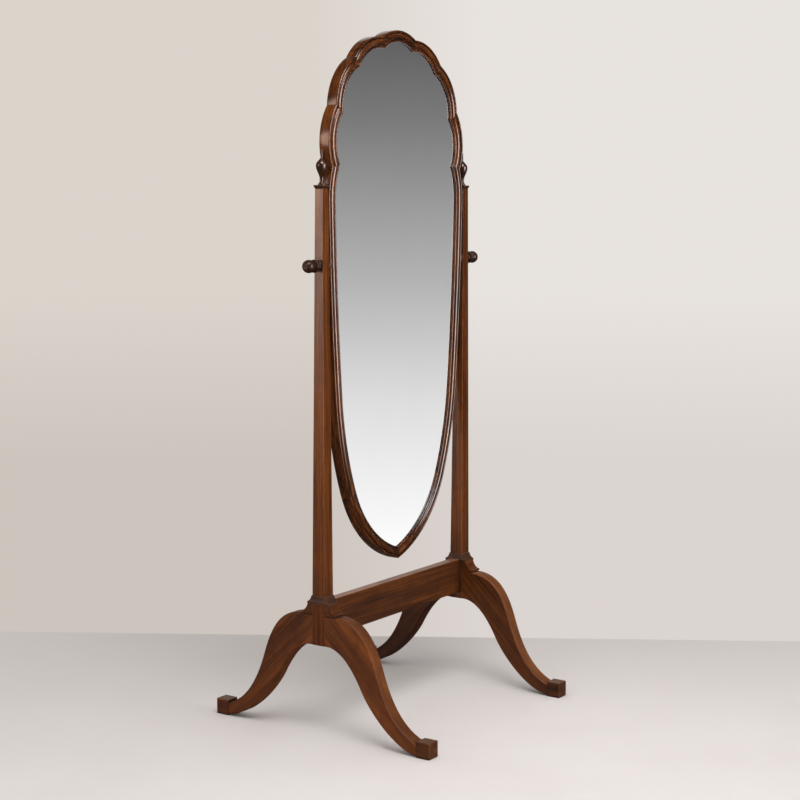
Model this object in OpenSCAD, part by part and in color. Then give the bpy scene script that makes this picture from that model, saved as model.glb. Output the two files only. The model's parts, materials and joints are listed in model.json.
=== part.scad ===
// Cheval floor mirror: a shield-shaped glass with a scalloped top, hung
// between two tapered posts on four sabre legs. Two turned knobs clamp it.
// X runs across the mirror, -Y is its front, Z is up and zero is the floor.

/* [Mirror outline, at the sight edge of the glass] */
// Half the sight width where the mirror is widest
sight_half_w = 241; // [220:0.5:265]
// Height of the widest place above the tilting axis
widest_up = 137; // [120:1:150]
// How far each waist cusp steps in from the widest place
waist_in = 16.5; // [12:0.5:22]
// Height of the waist cusps above the tilting axis
waist_up = 218; // [205:1:230]
// How far the first cusp above the waist steps in
cusp1_in = 27.5; // [22:0.5:34]
// Height of the first cusp above the tilting axis
cusp1_up = 329; // [315:1:345]
// How far the second cusp steps in
cusp2_in = 89; // [80:0.5:98]
// Height of the second cusp above the tilting axis
cusp2_up = 430.5; // [415:0.5:440]
// Distance of the crest cusps from the centre line
cusp3_x = 57.5; // [50:0.5:65]
// Height of the crest cusps above the tilting axis
cusp3_up = 476.5; // [465:0.5:490]
// Radius of each of the seven lobes
lobe_r = 100; // [90:1:115]
// How far the stiles have drawn in where they leave their long curve
taper_in = 24.5; // [18:0.5:32]
// Depth of that place below the tilting axis
taper_down = 300; // [270:1:330]
// Bulge of the long curve of each stile
stile_bulge = 3.7; // [2:0.1:6]
// How far the stiles have drawn in where they turn towards the point
turn_in = 75; // [65:0.5:85]
// Depth of that turn below the tilting axis
turn_down = 511.5; // [480:0.5:535]
// Depth of the point of the glass below the tilting axis
tip_down = 666; // [620:1:710]

/* [Frame moulding] */
// Width of the moulding on the stiles and the upper lobes
frame_w = 26; // [25:0.5:30]
// Width of the moulding on the two shoulder lobes
shoulder_w = 30.5; // [25:0.5:32]
// Depth of the frame behind the tilting axis
frame_back = 17; // [14:0.5:20]
// Height of the flat ground of the moulding in front of the axis
ground_front = 7.2; // [6.5:0.1:8.5]
// Radius of the broad roll
roll_r = 7.3; // [6:0.1:8]
// Distance of the middle of the roll from the sight edge
roll_u = 13.3; // [13:0.1:13.8]
// Radius of the small bead at the sight edge
sight_bead_r = 2.3; // [1.6:0.1:2.6]
// Radius of the bead at the outer edge
rim_bead_r = 2.4; // [1.8:0.1:2.6]
// Width of the rebate that the glass lies in
glass_rebate = 6; // [5:0.5:7]
// Width of the rebate that the back board lies in
board_rebate = 12; // [10:0.5:14]

/* [Glass and back] */
// Thickness of the mirror glass
glass_t = 4; // [3:0.5:5]
// Thickness of the back board
board_t = 5; // [4:0.5:6]
// Gap around the edges of the glass and of the board
edge_gap = 0.6; // [0.4:0.1:1]
// Length of each block that wedges the glass
block_l = 30; // [20:1:40]
// Diameter of the heads of the small brass screws
screw_head_d = 5.5; // [4:0.5:6]
// Diameter of the shanks of the small brass screws
screw_shank_d = 3; // [2.5:0.1:3.5]
// Length of the small brass screws
screw_l = 11; // [8:0.5:13]

/* [Posts] */
// Side of the square posts at the top
post_top_w = 21; // [19:0.5:24]
// Side of the square posts at the foot
post_foot_w = 33; // [30:0.5:36]
// Gap between the widest part of the frame and the tops of the posts
swing_gap = 2.5; // [2:0.1:5]
// Height of the post tops above the tilting axis
post_above_axis = 166; // [150:1:176]
// Height of the foot of each post above the floor
post_foot_z = 206; // [196:1:216]
// Half the side of the moulded cap on each post
cap_half = 13; // [12.5:0.5:15]
// Thickness of the cap
cap_t = 7.5; // [5:0.5:9]

/* [Finials] */
// Height of each finial
finial_h = 77; // [66:1:84]
// Radius of the bulb of the finial
finial_r = 12.5; // [10:0.5:13]
// Radius of the neck under the bulb
finial_neck_r = 4.5; // [3.5:0.5:5.5]
// Radius of the slim tip over the bulb
finial_tip_r = 2; // [1.5:0.5:3]
// Radius of the foot of the finial
finial_foot_r = 8; // [7:0.5:10]
// Diameter of the peg under the finial
peg_d = 5; // [4:0.5:6]
// Length of the peg under the finial
peg_l = 18; // [14:1:24]

/* [Legs] */
// Distance from the middle of the post to the end of each toe
leg_reach = 297; // [280:1:315]
// Height of the top of the leg at the post
leg_top_z = 275; // [265:1:285]
// Distance from the post middle to the middle of the upper curve
knee_y = 154; // [148:1:160]
// Height of the middle of the upper curve
knee_z = 172; // [164:1:180]
// Distance from the post middle to the middle of the lower curve
arch_y = 116; // [110:1:122]
// Height of the middle of the lower curve
arch_z = 121; // [114:1:128]
// Height of the leg's underside at the toe
heel_z = 3.5; // [2:0.5:5]
// Length of the square toe block
toe_l = 34.5; // [30:0.5:40]
// Height of the toe block
toe_h = 36.5; // [34:0.5:42]
// How far the toe block stands proud of each side of the leg
toe_proud = 0.75; // [0.3:0.05:1.5]
// How far the leg's upper edge lies below the top of the toe block
toe_step = 6.5; // [1:0.5:9]
// Diameter of the dowels that fix the legs
dowel_d = 9; // [7:0.5:11]
// Length of those dowels on each side of the joint
dowel_half_l = 11; // [8:0.5:12]

/* [Mouldings at the post foot] */
// Height of the collar round each post
collar_h = 18; // [14:1:24]
// How far the collar stands out to the front and the back
collar_out_y = 13.5; // [10:0.5:15]
// How far the collar stands out to the sides
collar_out_x = 1.5; // [1:0.5:3]
// Height of the saddle moulding on each leg
saddle_h = 25; // [22:1:30]
// How far the saddle moulding reaches from the post
saddle_out = 32; // [28:0.5:36]
// Thickness of the nosing at the foot of the saddle moulding
nosing_t = 6; // [5:0.5:8]

/* [Stretcher] */
// Height of the stretcher rail
rail_h = 83; // [76:1:88]
// Thickness of the stretcher rail
rail_t = 22; // [18:0.5:24]
// Height of the underside of the rail above the foot of the posts
rail_above_foot = 16; // [12:1:20]
// Length of the tenons of the rail
tenon_l = 15; // [11:0.5:18]
// Thickness of the tenons
tenon_t = 9; // [7:0.5:11]
// Height of the tenons
tenon_h = 60; // [50:1:66]
// Gap between the rail and the point of the frame above it
tip_gap = 48; // [36:1:60]

/* [Pivots] */
// Diameter of the pivot bolts
bolt_d = 6.35; // [5.5:0.05:7]
// Running clearance round the bolts, on the radius
bolt_fit = 0.08; // [0.05:0.01:0.1]
// Thickness of the brass plate on the side of the frame
plate_t = 3; // [2.5:0.1:3.5]
// How far the brass plate stands proud of the frame
plate_proud = 1.5; // [1:0.1:1.6]
// Width of the brass plate
plate_w = 15; // [14:0.5:17]
// Length of the brass plate
plate_l = 46; // [40:1:54]
// Diameter of the threaded boss behind the plate
boss_d = 10; // [9:0.5:11]
// Length of the threaded boss
boss_l = 12; // [10:0.5:12.5]
// Diameter of the friction washer between the plate and the post
friction_d = 20; // [16:0.5:22]
// Diameter of the washer under the knob
washer_d = 19; // [16:0.5:22]
// Thickness of the washer under the knob
washer_t = 1.2; // [1:0.1:2]

/* [Knobs] */
// Radius of the ball of the knob
ball_r = 14.4; // [12:0.1:16]
// Distance of the middle of the ball from the base of the knob
ball_x = 33.2; // [31:0.1:36]
// Radius of the flat button on the end of the ball
button_r = 8; // [6:0.5:10]
// Radius of the ring behind the ball
ring_r = 14.2; // [12:0.1:16]
// Distance of the middle of the ring from the base of the knob
ring_x = 15; // [13:0.1:16.5]
// Thickness of the ring
ring_t = 9; // [7:0.5:10]
// Radius of the base of the knob
knob_base_r = 11.5; // [9:0.5:12.5]
// Radius of the neck between the base and the ring
knob_neck_r = 8; // [7:0.5:9]
// Radius of the groove between the ring and the ball
groove_r = 11; // [9:0.5:11.5]

/* [Hidden] */
$fn = 64;
wood = "#5e3018";
dark_wood = "#46220f";
pale_wood = "#8a6a46";
brass = "#b08d4a";
eps = 0.01;
glue = 0.05;        // gap left for glue round each dowel, peg and tenon
past = 1;           // how far a cutter runs past the face that it cuts
spare = 0.5;        // depth that a blind hole has beyond the end of its dowel or screw
big = 400;          // longer than any piece that is cut with it
lip_t = 2.7;        // thickness of the lip that holds the glass in front
screw_head_t = 1.5; // depth of the seat of a screw head
sunk = 0.1;         // how far a screw head lies below the face round it
pad = 0.3;          // air between the washers and what turns against them

// Heights that follow from the sizes above
rail_z0 = post_foot_z + rail_above_foot;
rail_z1 = rail_z0 + rail_h;
collar_z0 = leg_top_z + saddle_h;
collar_z1 = collar_z0 + collar_h;

// The right half of the sight edge, in X and in height above the axis
tip = [0, -tip_down];
turn = [sight_half_w - turn_in, -turn_down];
taper = [sight_half_w - taper_in, -taper_down];
widest = [sight_half_w, widest_up];
waist = [sight_half_w - waist_in, waist_up];
cusp1 = [sight_half_w - cusp1_in, cusp1_up];
cusp2 = [sight_half_w - cusp2_in, cusp2_up];
cusp3 = [cusp3_x, cusp3_up];

// An arc is [centre, radius]. This one runs from p to q, anticlockwise
function bulge_arc(p, q, bulge) =
    let (chord = norm(q - p), r = (chord * chord / 4 + bulge * bulge) / (2 * bulge),
         left = [p.y - q.y, q.x - p.x] / chord)
    [(p + q) / 2 + left * (r - bulge), r];
// This one has a given radius
function round_arc(p, q, r) = bulge_arc(p, q, r - sqrt(r * r - (q - p) * (q - p) / 4));
// This one leaves another arc smoothly at the point p and passes through q
function smooth_arc(arc, p, q) =
    let (inward = (arc[0] - p) / norm(arc[0] - p),
         r = (q - p) * (q - p) / (2 * (q - p) * inward))
    [p + r * inward, r];
function bearing(c, p) = atan2(p.y - c.y, p.x - c.x);
function on_circle(c, r, a) = c + r * [cos(a), sin(a)];
function flip(p) = [-p.x, p.y];
// Where two circles meet, on the side of the point near
function meet(c, r, d, s, near) =
    let (gap = norm(d - c), along = (gap * gap + r * r - s * s) / (2 * gap),
         up = sqrt(max(0, r * r - along * along)), u = (d - c) / gap,
         foot = c + along * u, n = [-u.y, u.x])
    norm(foot + up * n - near) < norm(foot - up * n - near) ? foot + up * n : foot - up * n;

stile_arc = bulge_arc(taper, widest, stile_bulge);
shoulder_arc = smooth_arc(stile_arc, widest, waist);
lower_arc = smooth_arc(stile_arc, taper, turn);
point_arc = smooth_arc(lower_arc, turn, tip);
lobe1_arc = round_arc(waist, cusp1, lobe_r);
lobe2_arc = round_arc(cusp1, cusp2, lobe_r);
lobe3_arc = round_arc(cusp2, cusp3, lobe_r);
crest_arc = round_arc(cusp3, flip(cusp3), lobe_r);

// The cusps of a line that runs w1 outside the shoulder lobe and w outside the rest
function tip_at(w) =
    let (c = point_arc[0], r = point_arc[1] + w) [0, c.y - sqrt(r * r - c.x * c.x)];
function waist_at(w, w1) =
    meet(shoulder_arc[0], shoulder_arc[1] + w, lobe1_arc[0], lobe1_arc[1] + w1, waist);
function cusp1_at(w, w1) =
    meet(lobe1_arc[0], lobe1_arc[1] + w1, lobe2_arc[0], lobe2_arc[1] + w, cusp1);
function cusp2_at(w) = meet(lobe2_arc[0], lobe2_arc[1] + w, lobe3_arc[0], lobe3_arc[1] + w, cusp2);
function cusp3_at(w) = meet(lobe3_arc[0], lobe3_arc[1] + w, crest_arc[0], crest_arc[1] + w, cusp3);

// The angle that an arc turns through from p to q
function sweep_of(arc, p, q) =
    let (a = bearing(arc[0], p), b = bearing(arc[0], q)) b < a ? b + 360 - a : b - a;
// Points of an arc drawn w outside it, between two points
function arc_points(arc, w, p, q, n) = [for (i = [0 : n])
    on_circle(arc[0], arc[1] + w, bearing(arc[0], p) + sweep_of(arc, p, q) * i / n)];
function half_outline(w) = concat(
    arc_points(point_arc, w, tip_at(w), turn, 12), arc_points(lower_arc, w, turn, taper, 8),
    arc_points(stile_arc, w, taper, widest, 6),
    arc_points(shoulder_arc, w, widest, waist_at(w, w), 6),
    arc_points(lobe1_arc, w, waist_at(w, w), cusp1_at(w, w), 10),
    arc_points(lobe2_arc, w, cusp1_at(w, w), cusp2_at(w), 10),
    arc_points(lobe3_arc, w, cusp2_at(w), cusp3_at(w), 10),
    arc_points(crest_arc, w, cusp3_at(w), [0, crest_arc[0].y + crest_arc[1] + w], 6));
function outline(w) =
    let (h = half_outline(w), n = len(h)) concat(h, [for (i = [n - 1 : -1 : 0]) flip(h[i])]);

// Places that follow from the outline
tip_drop = tip.y - tip_at(frame_w).y;
axis_z = rail_z1 + tip_gap + tip_drop + tip_down;
post_top_z = axis_z + post_above_axis;
post_x = sight_half_w + frame_w + swing_gap + post_top_w / 2;
function post_half(z) = z < collar_z1 ? post_foot_w / 2
    : (post_foot_w + (post_top_w - post_foot_w) * (z - collar_z1) / (post_top_z - collar_z1)) / 2;
axis_post_half = post_half(axis_z);
frame_side = stile_arc[0].x + stile_arc[1] * sqrt(1 - pow(stile_arc[0].y / stile_arc[1], 2));
plate_face = frame_side + frame_w + plate_proud;
friction_t = post_x - axis_post_half - plate_face;
glass_front = -ground_front + lip_t;
glass_back = glass_front + glass_t;
board_front = frame_back - board_t;

// A shape drawn in X and Z, standing up, from y0 to y1
module upright(y0, y1) {
    translate([0, y1, 0])
        rotate([90, 0, 0])
            linear_extrude(y1 - y0)
                children();
}

// A shape drawn in Y and Z, from x0 to x1
module sideways(x0, x1) {
    translate([x0, 0, 0])
        rotate([90, 0, 90])
            linear_extrude(x1 - x0)
                children();
}

// A cylinder that runs along X from x0 to x1
module rod_x(d, x0, x1) {
    translate([x0, 0, 0])
        rotate([0, 90, 0])
            cylinder(d = d, h = x1 - x0);
}

// A cylinder that runs along Y from y0 to y1
module rod_y(d, y0, y1) {
    translate([0, y0, 0])
        rotate([-90, 0, 0])
            cylinder(d = d, h = y1 - y0);
}

// Left pieces are the right ones seen in a glass, rear pieces the front ones
module side_copy(s) {
    if (s < 0) mirror([1, 0, 0]) children();
    else children();
}
module rear_copy(s) {
    if (s > 0) mirror([0, 1, 0]) children();
    else children();
}

// ---- Stand: posts -------------------------------------------------------

// One face of the tapered post, from its foot to its top
module post_outline() {
    a = post_foot_w / 2;
    b = post_top_w / 2;
    polygon([[-a, post_foot_z], [a, post_foot_z], [a, collar_z1], [b, post_top_z],
             [-b, post_top_z], [-a, collar_z1]]);
}

// The places of the two dowels of a leg joint, in height
dowel_zs = [post_foot_z + 20, leg_top_z - 18];

module post() {
    color(wood)
        translate([post_x, 0, 0])
            difference() {
                intersection() {
                    upright(-big, big) post_outline();
                    sideways(-big, big) post_outline();
                }
                translate([0, 0, axis_z])
                    rod_x(bolt_d + 2 * bolt_fit, -big, big);
                translate([0, 0, post_top_z - peg_l + cap_t - spare])
                    cylinder(d = peg_d + 2 * glue, h = peg_l + past);
                translate([-post_foot_w / 2 - eps, -tenon_t / 2 - glue,
                           (rail_z0 + rail_z1 - tenon_h) / 2 - glue])
                    cube([tenon_l + spare, tenon_t + 2 * glue, tenon_h + 2 * glue]);
                for (z = dowel_zs, s = [-1, 1])
                    rear_copy(s)
                        translate([0, 0, z])
                            rod_y(dowel_d + 2 * glue, -post_foot_w / 2 - past,
                                  -post_foot_w / 2 + dowel_half_l + spare);
            }
}

module post_cap() {
    lip = 2.4;
    color(dark_wood)
        translate([post_x, 0, post_top_z])
            difference() {
                intersection() {
                    upright(-big, big) cap_outline(lip);
                    sideways(-big, big) cap_outline(lip);
                }
                translate([0, 0, -past])
                    cylinder(d = peg_d + 2 * glue, h = cap_t + 2 * past);
            }
}

// The cap swells from the post to a thin plate with a square edge
module cap_outline(lip) {
    b = post_top_w / 2;
    swell = b + 0.6;
    swell_z = cap_t * 0.3;
    under = cap_half - 0.4;
    polygon([[-b, 0], [b, 0], [swell, swell_z], [under, cap_t - lip],
             [cap_half, cap_t - lip], [cap_half, cap_t], [-cap_half, cap_t],
             [-cap_half, cap_t - lip], [-under, cap_t - lip], [-swell, swell_z]]);
}

// Turned finial: a foot, a slim neck, a bulb and a slender tip
function curve3(p0, p1, p2, p3, n) = [for (i = [1 : n]) let (t = i / n, s = 1 - t)
    s * s * s * p0 + 3 * s * s * t * p1 + 3 * s * t * t * p2 + t * t * t * p3];

module finial() {
    foot_t = 3;
    neck_z = finial_h * 0.165;
    bulb_z = finial_h * 0.55;
    foot = [finial_foot_r, foot_t];
    neck = [finial_neck_r, neck_z];
    bulb = [finial_r, bulb_z];
    spire = [finial_tip_r + 0.4, finial_h * 0.76];
    point = [finial_tip_r, finial_h - finial_tip_r];
    color(dark_wood)
        translate([post_x, 0, post_top_z + cap_t])
            rotate_extrude()
                polygon(concat([[0, -peg_l], [peg_d / 2, -peg_l], [peg_d / 2, 0],
                                [finial_foot_r, 0], foot],
                               curve3(foot, [finial_neck_r, foot_t + 1],
                                      [finial_neck_r, neck_z - 4], neck, 6),
                               curve3(neck, [finial_neck_r, neck_z + 11],
                                      [finial_r, bulb_z - 13], bulb, 9),
                               curve3(bulb, [finial_r, bulb_z + 7],
                                      [spire.x + 2, spire.y - 4], spire, 8),
                               [point],
                               curve3(point, [finial_tip_r, finial_h - finial_tip_r * 0.4],
                                      [finial_tip_r * 0.5, finial_h], [0, finial_h], 4)));
}

// ---- Stand: legs --------------------------------------------------------

// Side of the leg, in distance from the post middle and in height. Each edge is
// an S of two curves that meet smoothly at the knee above and at the arch below.
// The runs are how far a curve heads on from each of its ends
module leg_outline() {
    root = post_foot_w / 2;
    toe = leg_reach - toe_l;
    brow = [root + saddle_out - 3, leg_top_z];
    knee = [knee_y, knee_z];
    knee_fall = [0.312, -0.95];
    instep = [toe, toe_h - toe_step];
    heel = [toe, heel_z];
    arch = [arch_y, arch_z];
    arch_fall = [0.467, -0.884];
    crown = [root, post_foot_z];
    brow_run = [52, 0];
    knee_up_run = 77;
    knee_down_run = 46;
    instep_run = [-68, 24];
    heel_run = [-59, 3];
    arch_down_run = 43;
    arch_up_run = 98;
    crown_run = [14, 1];
    polygon(concat([[root, leg_top_z], brow],
                   curve3(brow, brow + brow_run, knee - knee_up_run * knee_fall, knee, 16),
                   curve3(knee, knee + knee_down_run * knee_fall, instep + instep_run,
                          instep, 14),
                   [heel],
                   curve3(heel, heel + heel_run, arch + arch_down_run * arch_fall, arch, 14),
                   curve3(arch, arch - arch_up_run * arch_fall, crown + crown_run,
                          crown, 16)));
}

module front_leg() {
    color(wood)
        translate([post_x, 0, 0])
            difference() {
                mirror([0, 1, 0])
                    sideways(-post_foot_w / 2, post_foot_w / 2)
                        leg_outline();
                for (z = dowel_zs)
                    translate([0, 0, z])
                        rod_y(dowel_d + 2 * glue, -post_foot_w / 2 - dowel_half_l - spare,
                              -post_foot_w / 2 + past);
            }
}

module front_toe() {
    half = post_foot_w / 2 + toe_proud;
    edge = 1.5;
    color(dark_wood)
        translate([post_x, -leg_reach, 0])
            upright(0, toe_l)
                polygon([[-half, 0], [half, 0], [half, toe_h - edge], [half - edge, toe_h],
                         [edge - half, toe_h], [-half, toe_h - edge]]);
}

module leg_dowels() {
    color(pale_wood)
        for (sx = [-1, 1], sy = [-1, 1], z = dowel_zs)
            translate([sx * post_x, 0, z])
                rear_copy(sy)
                    rod_y(dowel_d, -post_foot_w / 2 - dowel_half_l,
                          -post_foot_w / 2 + dowel_half_l);
}

// ---- Stand: mouldings round the foot of the post ------------------------

module collar() {
    a = post_foot_w / 2;
    color(dark_wood)
        translate([post_x, 0, 0])
            difference() {
                intersection() {
                    sideways(-big, big) collar_outline(a, collar_out_y);
                    upright(-big, big) collar_outline(a, collar_out_x);
                }
                translate([-a, -a, 0])
                    cube([2 * a, 2 * a, collar_z1 + past]);
                translate([-2 * a, -rail_t / 2 - glue, 0])
                    cube([2 * a, rail_t + 2 * glue, rail_z1 + glue]);
            }
}

// A hollow over a square fillet
module collar_outline(a, out) {
    side = [[out * 0.16, collar_h], [out * 0.3, collar_h * 0.85], [out * 0.45, collar_h * 0.62],
            [out * 0.68, collar_h * 0.42], [out * 0.95, collar_h * 0.27], [out, collar_h * 0.18],
            [out, 0]];
    polygon(concat([for (p = side) [a + p.x, collar_z0 + p.y]],
                   [for (i = [len(side) - 1 : -1 : 0]) [-a - side[i].x, collar_z0 + side[i].y]]));
}

// One long hollow down to a round-edged nosing, planted on the leg against the post
module front_saddle() {
    a = post_foot_w / 2;
    top = [a + collar_out_y, collar_z0];
    nose = a + saddle_out - nosing_t / 2;
    foot = [nose - 1, leg_top_z + nosing_t];
    color(dark_wood)
        translate([post_x, 0, 0])
            mirror([0, 1, 0])
                sideways(-a, a)
                    union() {
                        polygon(concat([[nose, leg_top_z + nosing_t], foot],
                                       curve3(foot, foot + [-7, 2], top + [1, -8], top, 8),
                                       [[a, collar_z0], [a, leg_top_z], [nose, leg_top_z]]));
                        translate([nose, leg_top_z + nosing_t / 2])
                            circle(d = nosing_t);
                    }
}

// ---- Stand: stretcher ---------------------------------------------------

module stretcher_rail() {
    inner = post_x - post_foot_w / 2;
    mid_z = (rail_z0 + rail_z1) / 2;
    color(wood)
        union() {
            translate([-inner, -rail_t / 2, rail_z0])
                cube([2 * inner, rail_t, rail_h]);
            translate([-inner - tenon_l, -tenon_t / 2, mid_z - tenon_h / 2])
                cube([2 * (inner + tenon_l), tenon_t, tenon_h]);
        }
}

// ---- Mirror frame -------------------------------------------------------

// Section of the moulding, from the sight edge outwards and from back to front
module moulding(w) {
    roll_sunk = 2;
    rim_rise = 1.1;
    difference() {
        union() {
            translate([0, -frame_back])
                square([w, frame_back + ground_front]);
            translate([sight_bead_r, ground_front])
                circle(r = sight_bead_r);
            translate([roll_u, ground_front - roll_sunk])
                circle(r = roll_r);
            translate([w - rim_bead_r, ground_front - eps])
                square([rim_bead_r, rim_rise + eps]);
            translate([w - rim_bead_r, ground_front + rim_rise])
                circle(r = rim_bead_r);
        }
        translate([-past, -frame_back - past])
            square([glass_rebate + past, frame_back + past - glass_front]);
        translate([-past, -frame_back - past])
            square([board_rebate + past, board_t + past]);
    }
}

// The moulding swept along one arc, some degrees past its two ends. The last
// number is how finely a full turn of the arc is divided
module swept(arc, w, p, q, over, fn) {
    translate([arc[0].x, 0, arc[0].y])
        rotate([90, 0, 0])
            rotate([0, 0, bearing(arc[0], p) - over])
                rotate_extrude(angle = sweep_of(arc, p, q) + 2 * over, $fn = fn)
                    translate([arc[1], 0])
                        moulding(w);
}

// A joint line drawn out past both its ends, and moved sideways by some distance
function drawn_out(line, aside) =
    let (inside = 8, outside = 45, n = len(line) - 1,
         u = (line[1] - line[0]) / norm(line[1] - line[0]),
         v = (line[n] - line[n - 1]) / norm(line[n] - line[n - 1]),
         move = aside * [-u.y, u.x])
    [for (i = [0 : n])
        line[i] + move - (i == 0 ? inside * u : [0, 0]) + (i == n ? outside * v : [0, 0])];

// The part of the frame between two joints. Each is a line that starts at the
// sight edge. The ends can stop a little short of the joints
module between(p_line, q_line, short_p = 0, short_q = 0) {
    ps = drawn_out(p_line, short_p);
    qs = drawn_out(q_line, -short_q);
    intersection() {
        children();
        upright(-big, big)
            polygon(concat(ps, [for (i = [len(qs) - 1 : -1 : 0]) qs[i]]));
    }
}

waist_out = waist_at(frame_w, shoulder_w);
cusp1_out = cusp1_at(frame_w, shoulder_w);
cusp2_out = cusp2_at(frame_w);
cusp3_out = cusp3_at(frame_w);
tip_out = tip_at(frame_w);
function out_from(arc, p) = arc[0] + (p - arc[0]) * (arc[1] + frame_w) / arc[1];
turn_out = out_from(lower_arc, turn);
taper_out = out_from(stile_arc, taper);
widest_out = out_from(stile_arc, widest);

// The mitres. Where two widths meet, the mitre halves the corner as far as the
// rebates reach and then bends to the outer corner
mitre_bend = board_rebate + 1;
tip_line = [tip, tip_out];
turn_line = [turn, turn_out];
taper_line = [taper, taper_out];
widest_line = [widest, widest_out];
waist_line = [waist, waist_at(mitre_bend, mitre_bend), waist_out];
cusp1_line = [cusp1, cusp1_at(mitre_bend, mitre_bend), cusp1_out];
cusp2_line = [cusp2, cusp2_out];
cusp3_line = [cusp3, cusp3_out];

// Dowels lie across the joints, midway through the wood
joint_d = 6;
joint_l = 26;
joint_y = (frame_back - ground_front) / 2;
joint_share = 0.66; // how far out across the moulding each dowel lies
tongue_share = 0.7; // and each tongue
tongue_size = [8, 12, 12];
// Each joint: a point on it and the direction across it
function joint(p, p_out) = let (u = (p_out - p) / norm(p_out - p))
    [p + joint_share * (p_out - p), [-u.y, u.x]];
joints = [joint(tip, tip_out), joint(turn, turn_out), joint(waist, waist_out),
          joint(cusp1, cusp1_out), joint(cusp2, cusp2_out), joint(cusp3, cusp3_out)];

module joint_rod(j, d, l) {
    translate([j[0].x, joint_y, j[0].y])
        rotate([0, -atan2(j[1].y, j[1].x), 0])
            rod_x(d, -l / 2, l / 2);
}

module joint_bores() {
    for (s = [-1, 1], j = joints)
        side_copy(s)
            joint_rod(j, joint_d + 2 * glue, joint_l + 2 * spare);
}

module plate_recess() {
    boss_fit = 0.2;
    rod_x(boss_d + 2 * boss_fit, plate_face - plate_t - boss_l - spare, plate_face + past);
    translate([plate_face - plate_t, -plate_w / 2 - glue, -plate_l / 2 - glue])
        cube([plate_t + 2 * past, plate_w + 2 * glue, plate_l + 2 * glue]);
    for (z = plate_screw_zs)
        translate([0, 0, z])
            rod_x(screw_shank_d + 2 * glue, plate_face - screw_l - spare, plate_face);
}

// A tongue deep in the wood, which joins two curves of the stile into one piece
module tongue(p, p_out) {
    u = p_out - p;
    mid = p + tongue_share * u;
    translate([mid.x, joint_y, mid.y])
        rotate([0, -atan2(u.y, u.x), 0])
            cube(tongue_size, center = true);
}

// The right stile is built up of two long curves and a short one at the waist
module stile() {
    color(wood)
        translate([0, 0, axis_z])
            difference() {
                union() {
                    between(turn_line, taper_line, 0, glue / 2)
                        swept(lower_arc, frame_w, turn, taper, 1, 720);
                    between(taper_line, widest_line, glue / 2, glue / 2)
                        swept(stile_arc, frame_w, taper, widest, 0.1, 3600);
                    between(widest_line, waist_line, glue / 2, 0)
                        swept(shoulder_arc, frame_w, widest, waist, 8, 360);
                    tongue(taper, taper_out);
                    tongue(widest, widest_out);
                }
                joint_bores();
                plate_recess();
                board_screw_holes();
            }
}

// The lower right piece of the frame, which meets its fellow at the point
module point_rail() {
    color(wood)
        translate([0, 0, axis_z])
            difference() {
                between(tip_line, turn_line)
                    swept(point_arc, frame_w, tip, turn, 6, 360);
                joint_bores();
                board_screw_holes();
            }
}

// One lobe of the scalloped top, mitred to its neighbours at both cusps
module lobe(arc, w, p_line, q_line) {
    color(wood)
        translate([0, 0, axis_z])
            difference() {
                between(p_line, q_line)
                    swept(arc, w, p_line[0], q_line[0], 8, 180);
                joint_bores();
                board_screw_holes();
            }
}

module shoulder_rail() {
    lobe(lobe1_arc, shoulder_w, waist_line, cusp1_line);
}

module upper_rail() {
    lobe(lobe2_arc, frame_w, cusp1_line, cusp2_line);
}

module crown_rail() {
    lobe(lobe3_arc, frame_w, cusp2_line, cusp3_line);
}

module crest_rail() {
    lobe(crest_arc, frame_w, cusp3_line, [for (p = cusp3_line) flip(p)]);
}

module frame_dowels() {
    color(pale_wood)
        translate([0, 0, axis_z]) {
            joint_rod(joints[0], joint_d, joint_l);
            for (s = [-1, 1], i = [1 : len(joints) - 1])
                side_copy(s)
                    joint_rod(joints[i], joint_d, joint_l);
        }
}

// ---- Glass and back -----------------------------------------------------

module mirror_glass() {
    color("#b9c2c6")
        translate([0, 0, axis_z])
            upright(glass_front, glass_front + glass_t)
                polygon(outline(glass_rebate - edge_gap));
}

// The curves of the right half, each with its two ends
point_run = [point_arc, tip, turn];
lower_run = [lower_arc, turn, taper];
stile_run = [stile_arc, taper, widest];
lobe1_run = [lobe1_arc, waist, cusp1];
lobe2_run = [lobe2_arc, cusp1, cusp2];
lobe3_run = [lobe3_arc, cusp2, cusp3];
// The bearing of a place a given share of the way along one of them
function bearing_at(run, share) =
    bearing(run[0][0], run[1]) + sweep_of(run[0], run[1], run[2]) * share;

// Screws go through the board into the floor of its rebate
board_screw_w = (board_rebate + glass_rebate) / 2;
board_screws = [for (place = [[point_run, 0.4], [lower_run, 0.5], [stile_run, 0.3],
                              [stile_run, 0.95], [lobe1_run, 0.5], [lobe2_run, 0.5],
                              [lobe3_run, 0.5]])
    let (arc = place[0][0])
    on_circle(arc[0], arc[1] + board_screw_w, bearing_at(place[0], place[1]))];

module at_board_screws() {
    for (s = [-1, 1], p = board_screws)
        translate([s * p.x, 0, p.y])
            children();
}

module board_screw_holes() {
    at_board_screws()
        rod_y(screw_shank_d + 2 * glue, frame_back - screw_l - spare, frame_back);
}

module back_board() {
    color(pale_wood)
        translate([0, 0, axis_z])
            difference() {
                upright(board_front, frame_back)
                    polygon(outline(board_rebate - edge_gap));
                at_board_screws() {
                    rod_y(screw_shank_d + 2 * glue, board_front - past, frame_back + past);
                    rod_y(screw_head_d + 2 * glue, frame_back - screw_head_t,
                          frame_back + past);
                }
            }
}

module back_board_screws() {
    color(brass)
        translate([0, 0, axis_z])
            at_board_screws() {
                rod_y(screw_shank_d, frame_back - screw_l, frame_back - screw_head_t / 2);
                rod_y(screw_head_d, frame_back - screw_head_t, frame_back - sunk);
            }
}

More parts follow.
